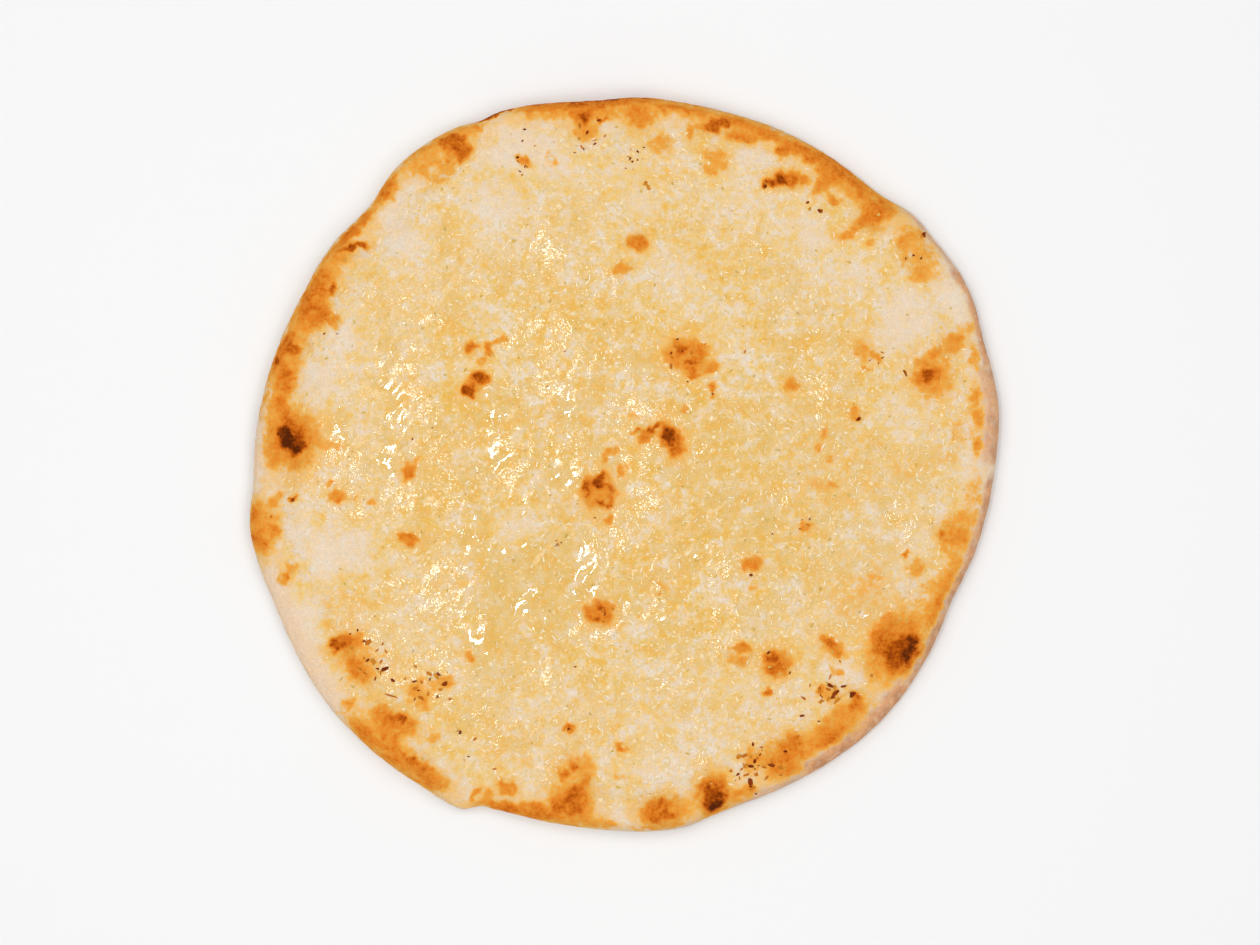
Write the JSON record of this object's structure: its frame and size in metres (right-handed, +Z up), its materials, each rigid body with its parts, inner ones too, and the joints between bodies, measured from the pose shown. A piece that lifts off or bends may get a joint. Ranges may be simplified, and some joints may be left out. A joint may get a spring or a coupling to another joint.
{
  "type": "pizza bread",
  "caption": "Flat round pizza bread with a low uneven browned rim, blisters and charred herb flecks; lies flat to be torn or sliced and shared.",
  "frame": {"origin": "on the flat underside, under the middle of the bread's outline seen from above", "axes": "+Z up, out of the baked top; +X to the right and +Y to the top of the bread as the picture shows it"},
  "size_m": [0.3002, 0.2942, 0.0146],
  "materials": {
    "baked_dough": "baked dough, oily in the middle, dry and browned at the rim"
  },
  "bodies": {
    "root": {"bread": "baked_dough"}
  },
  "joints": []
}
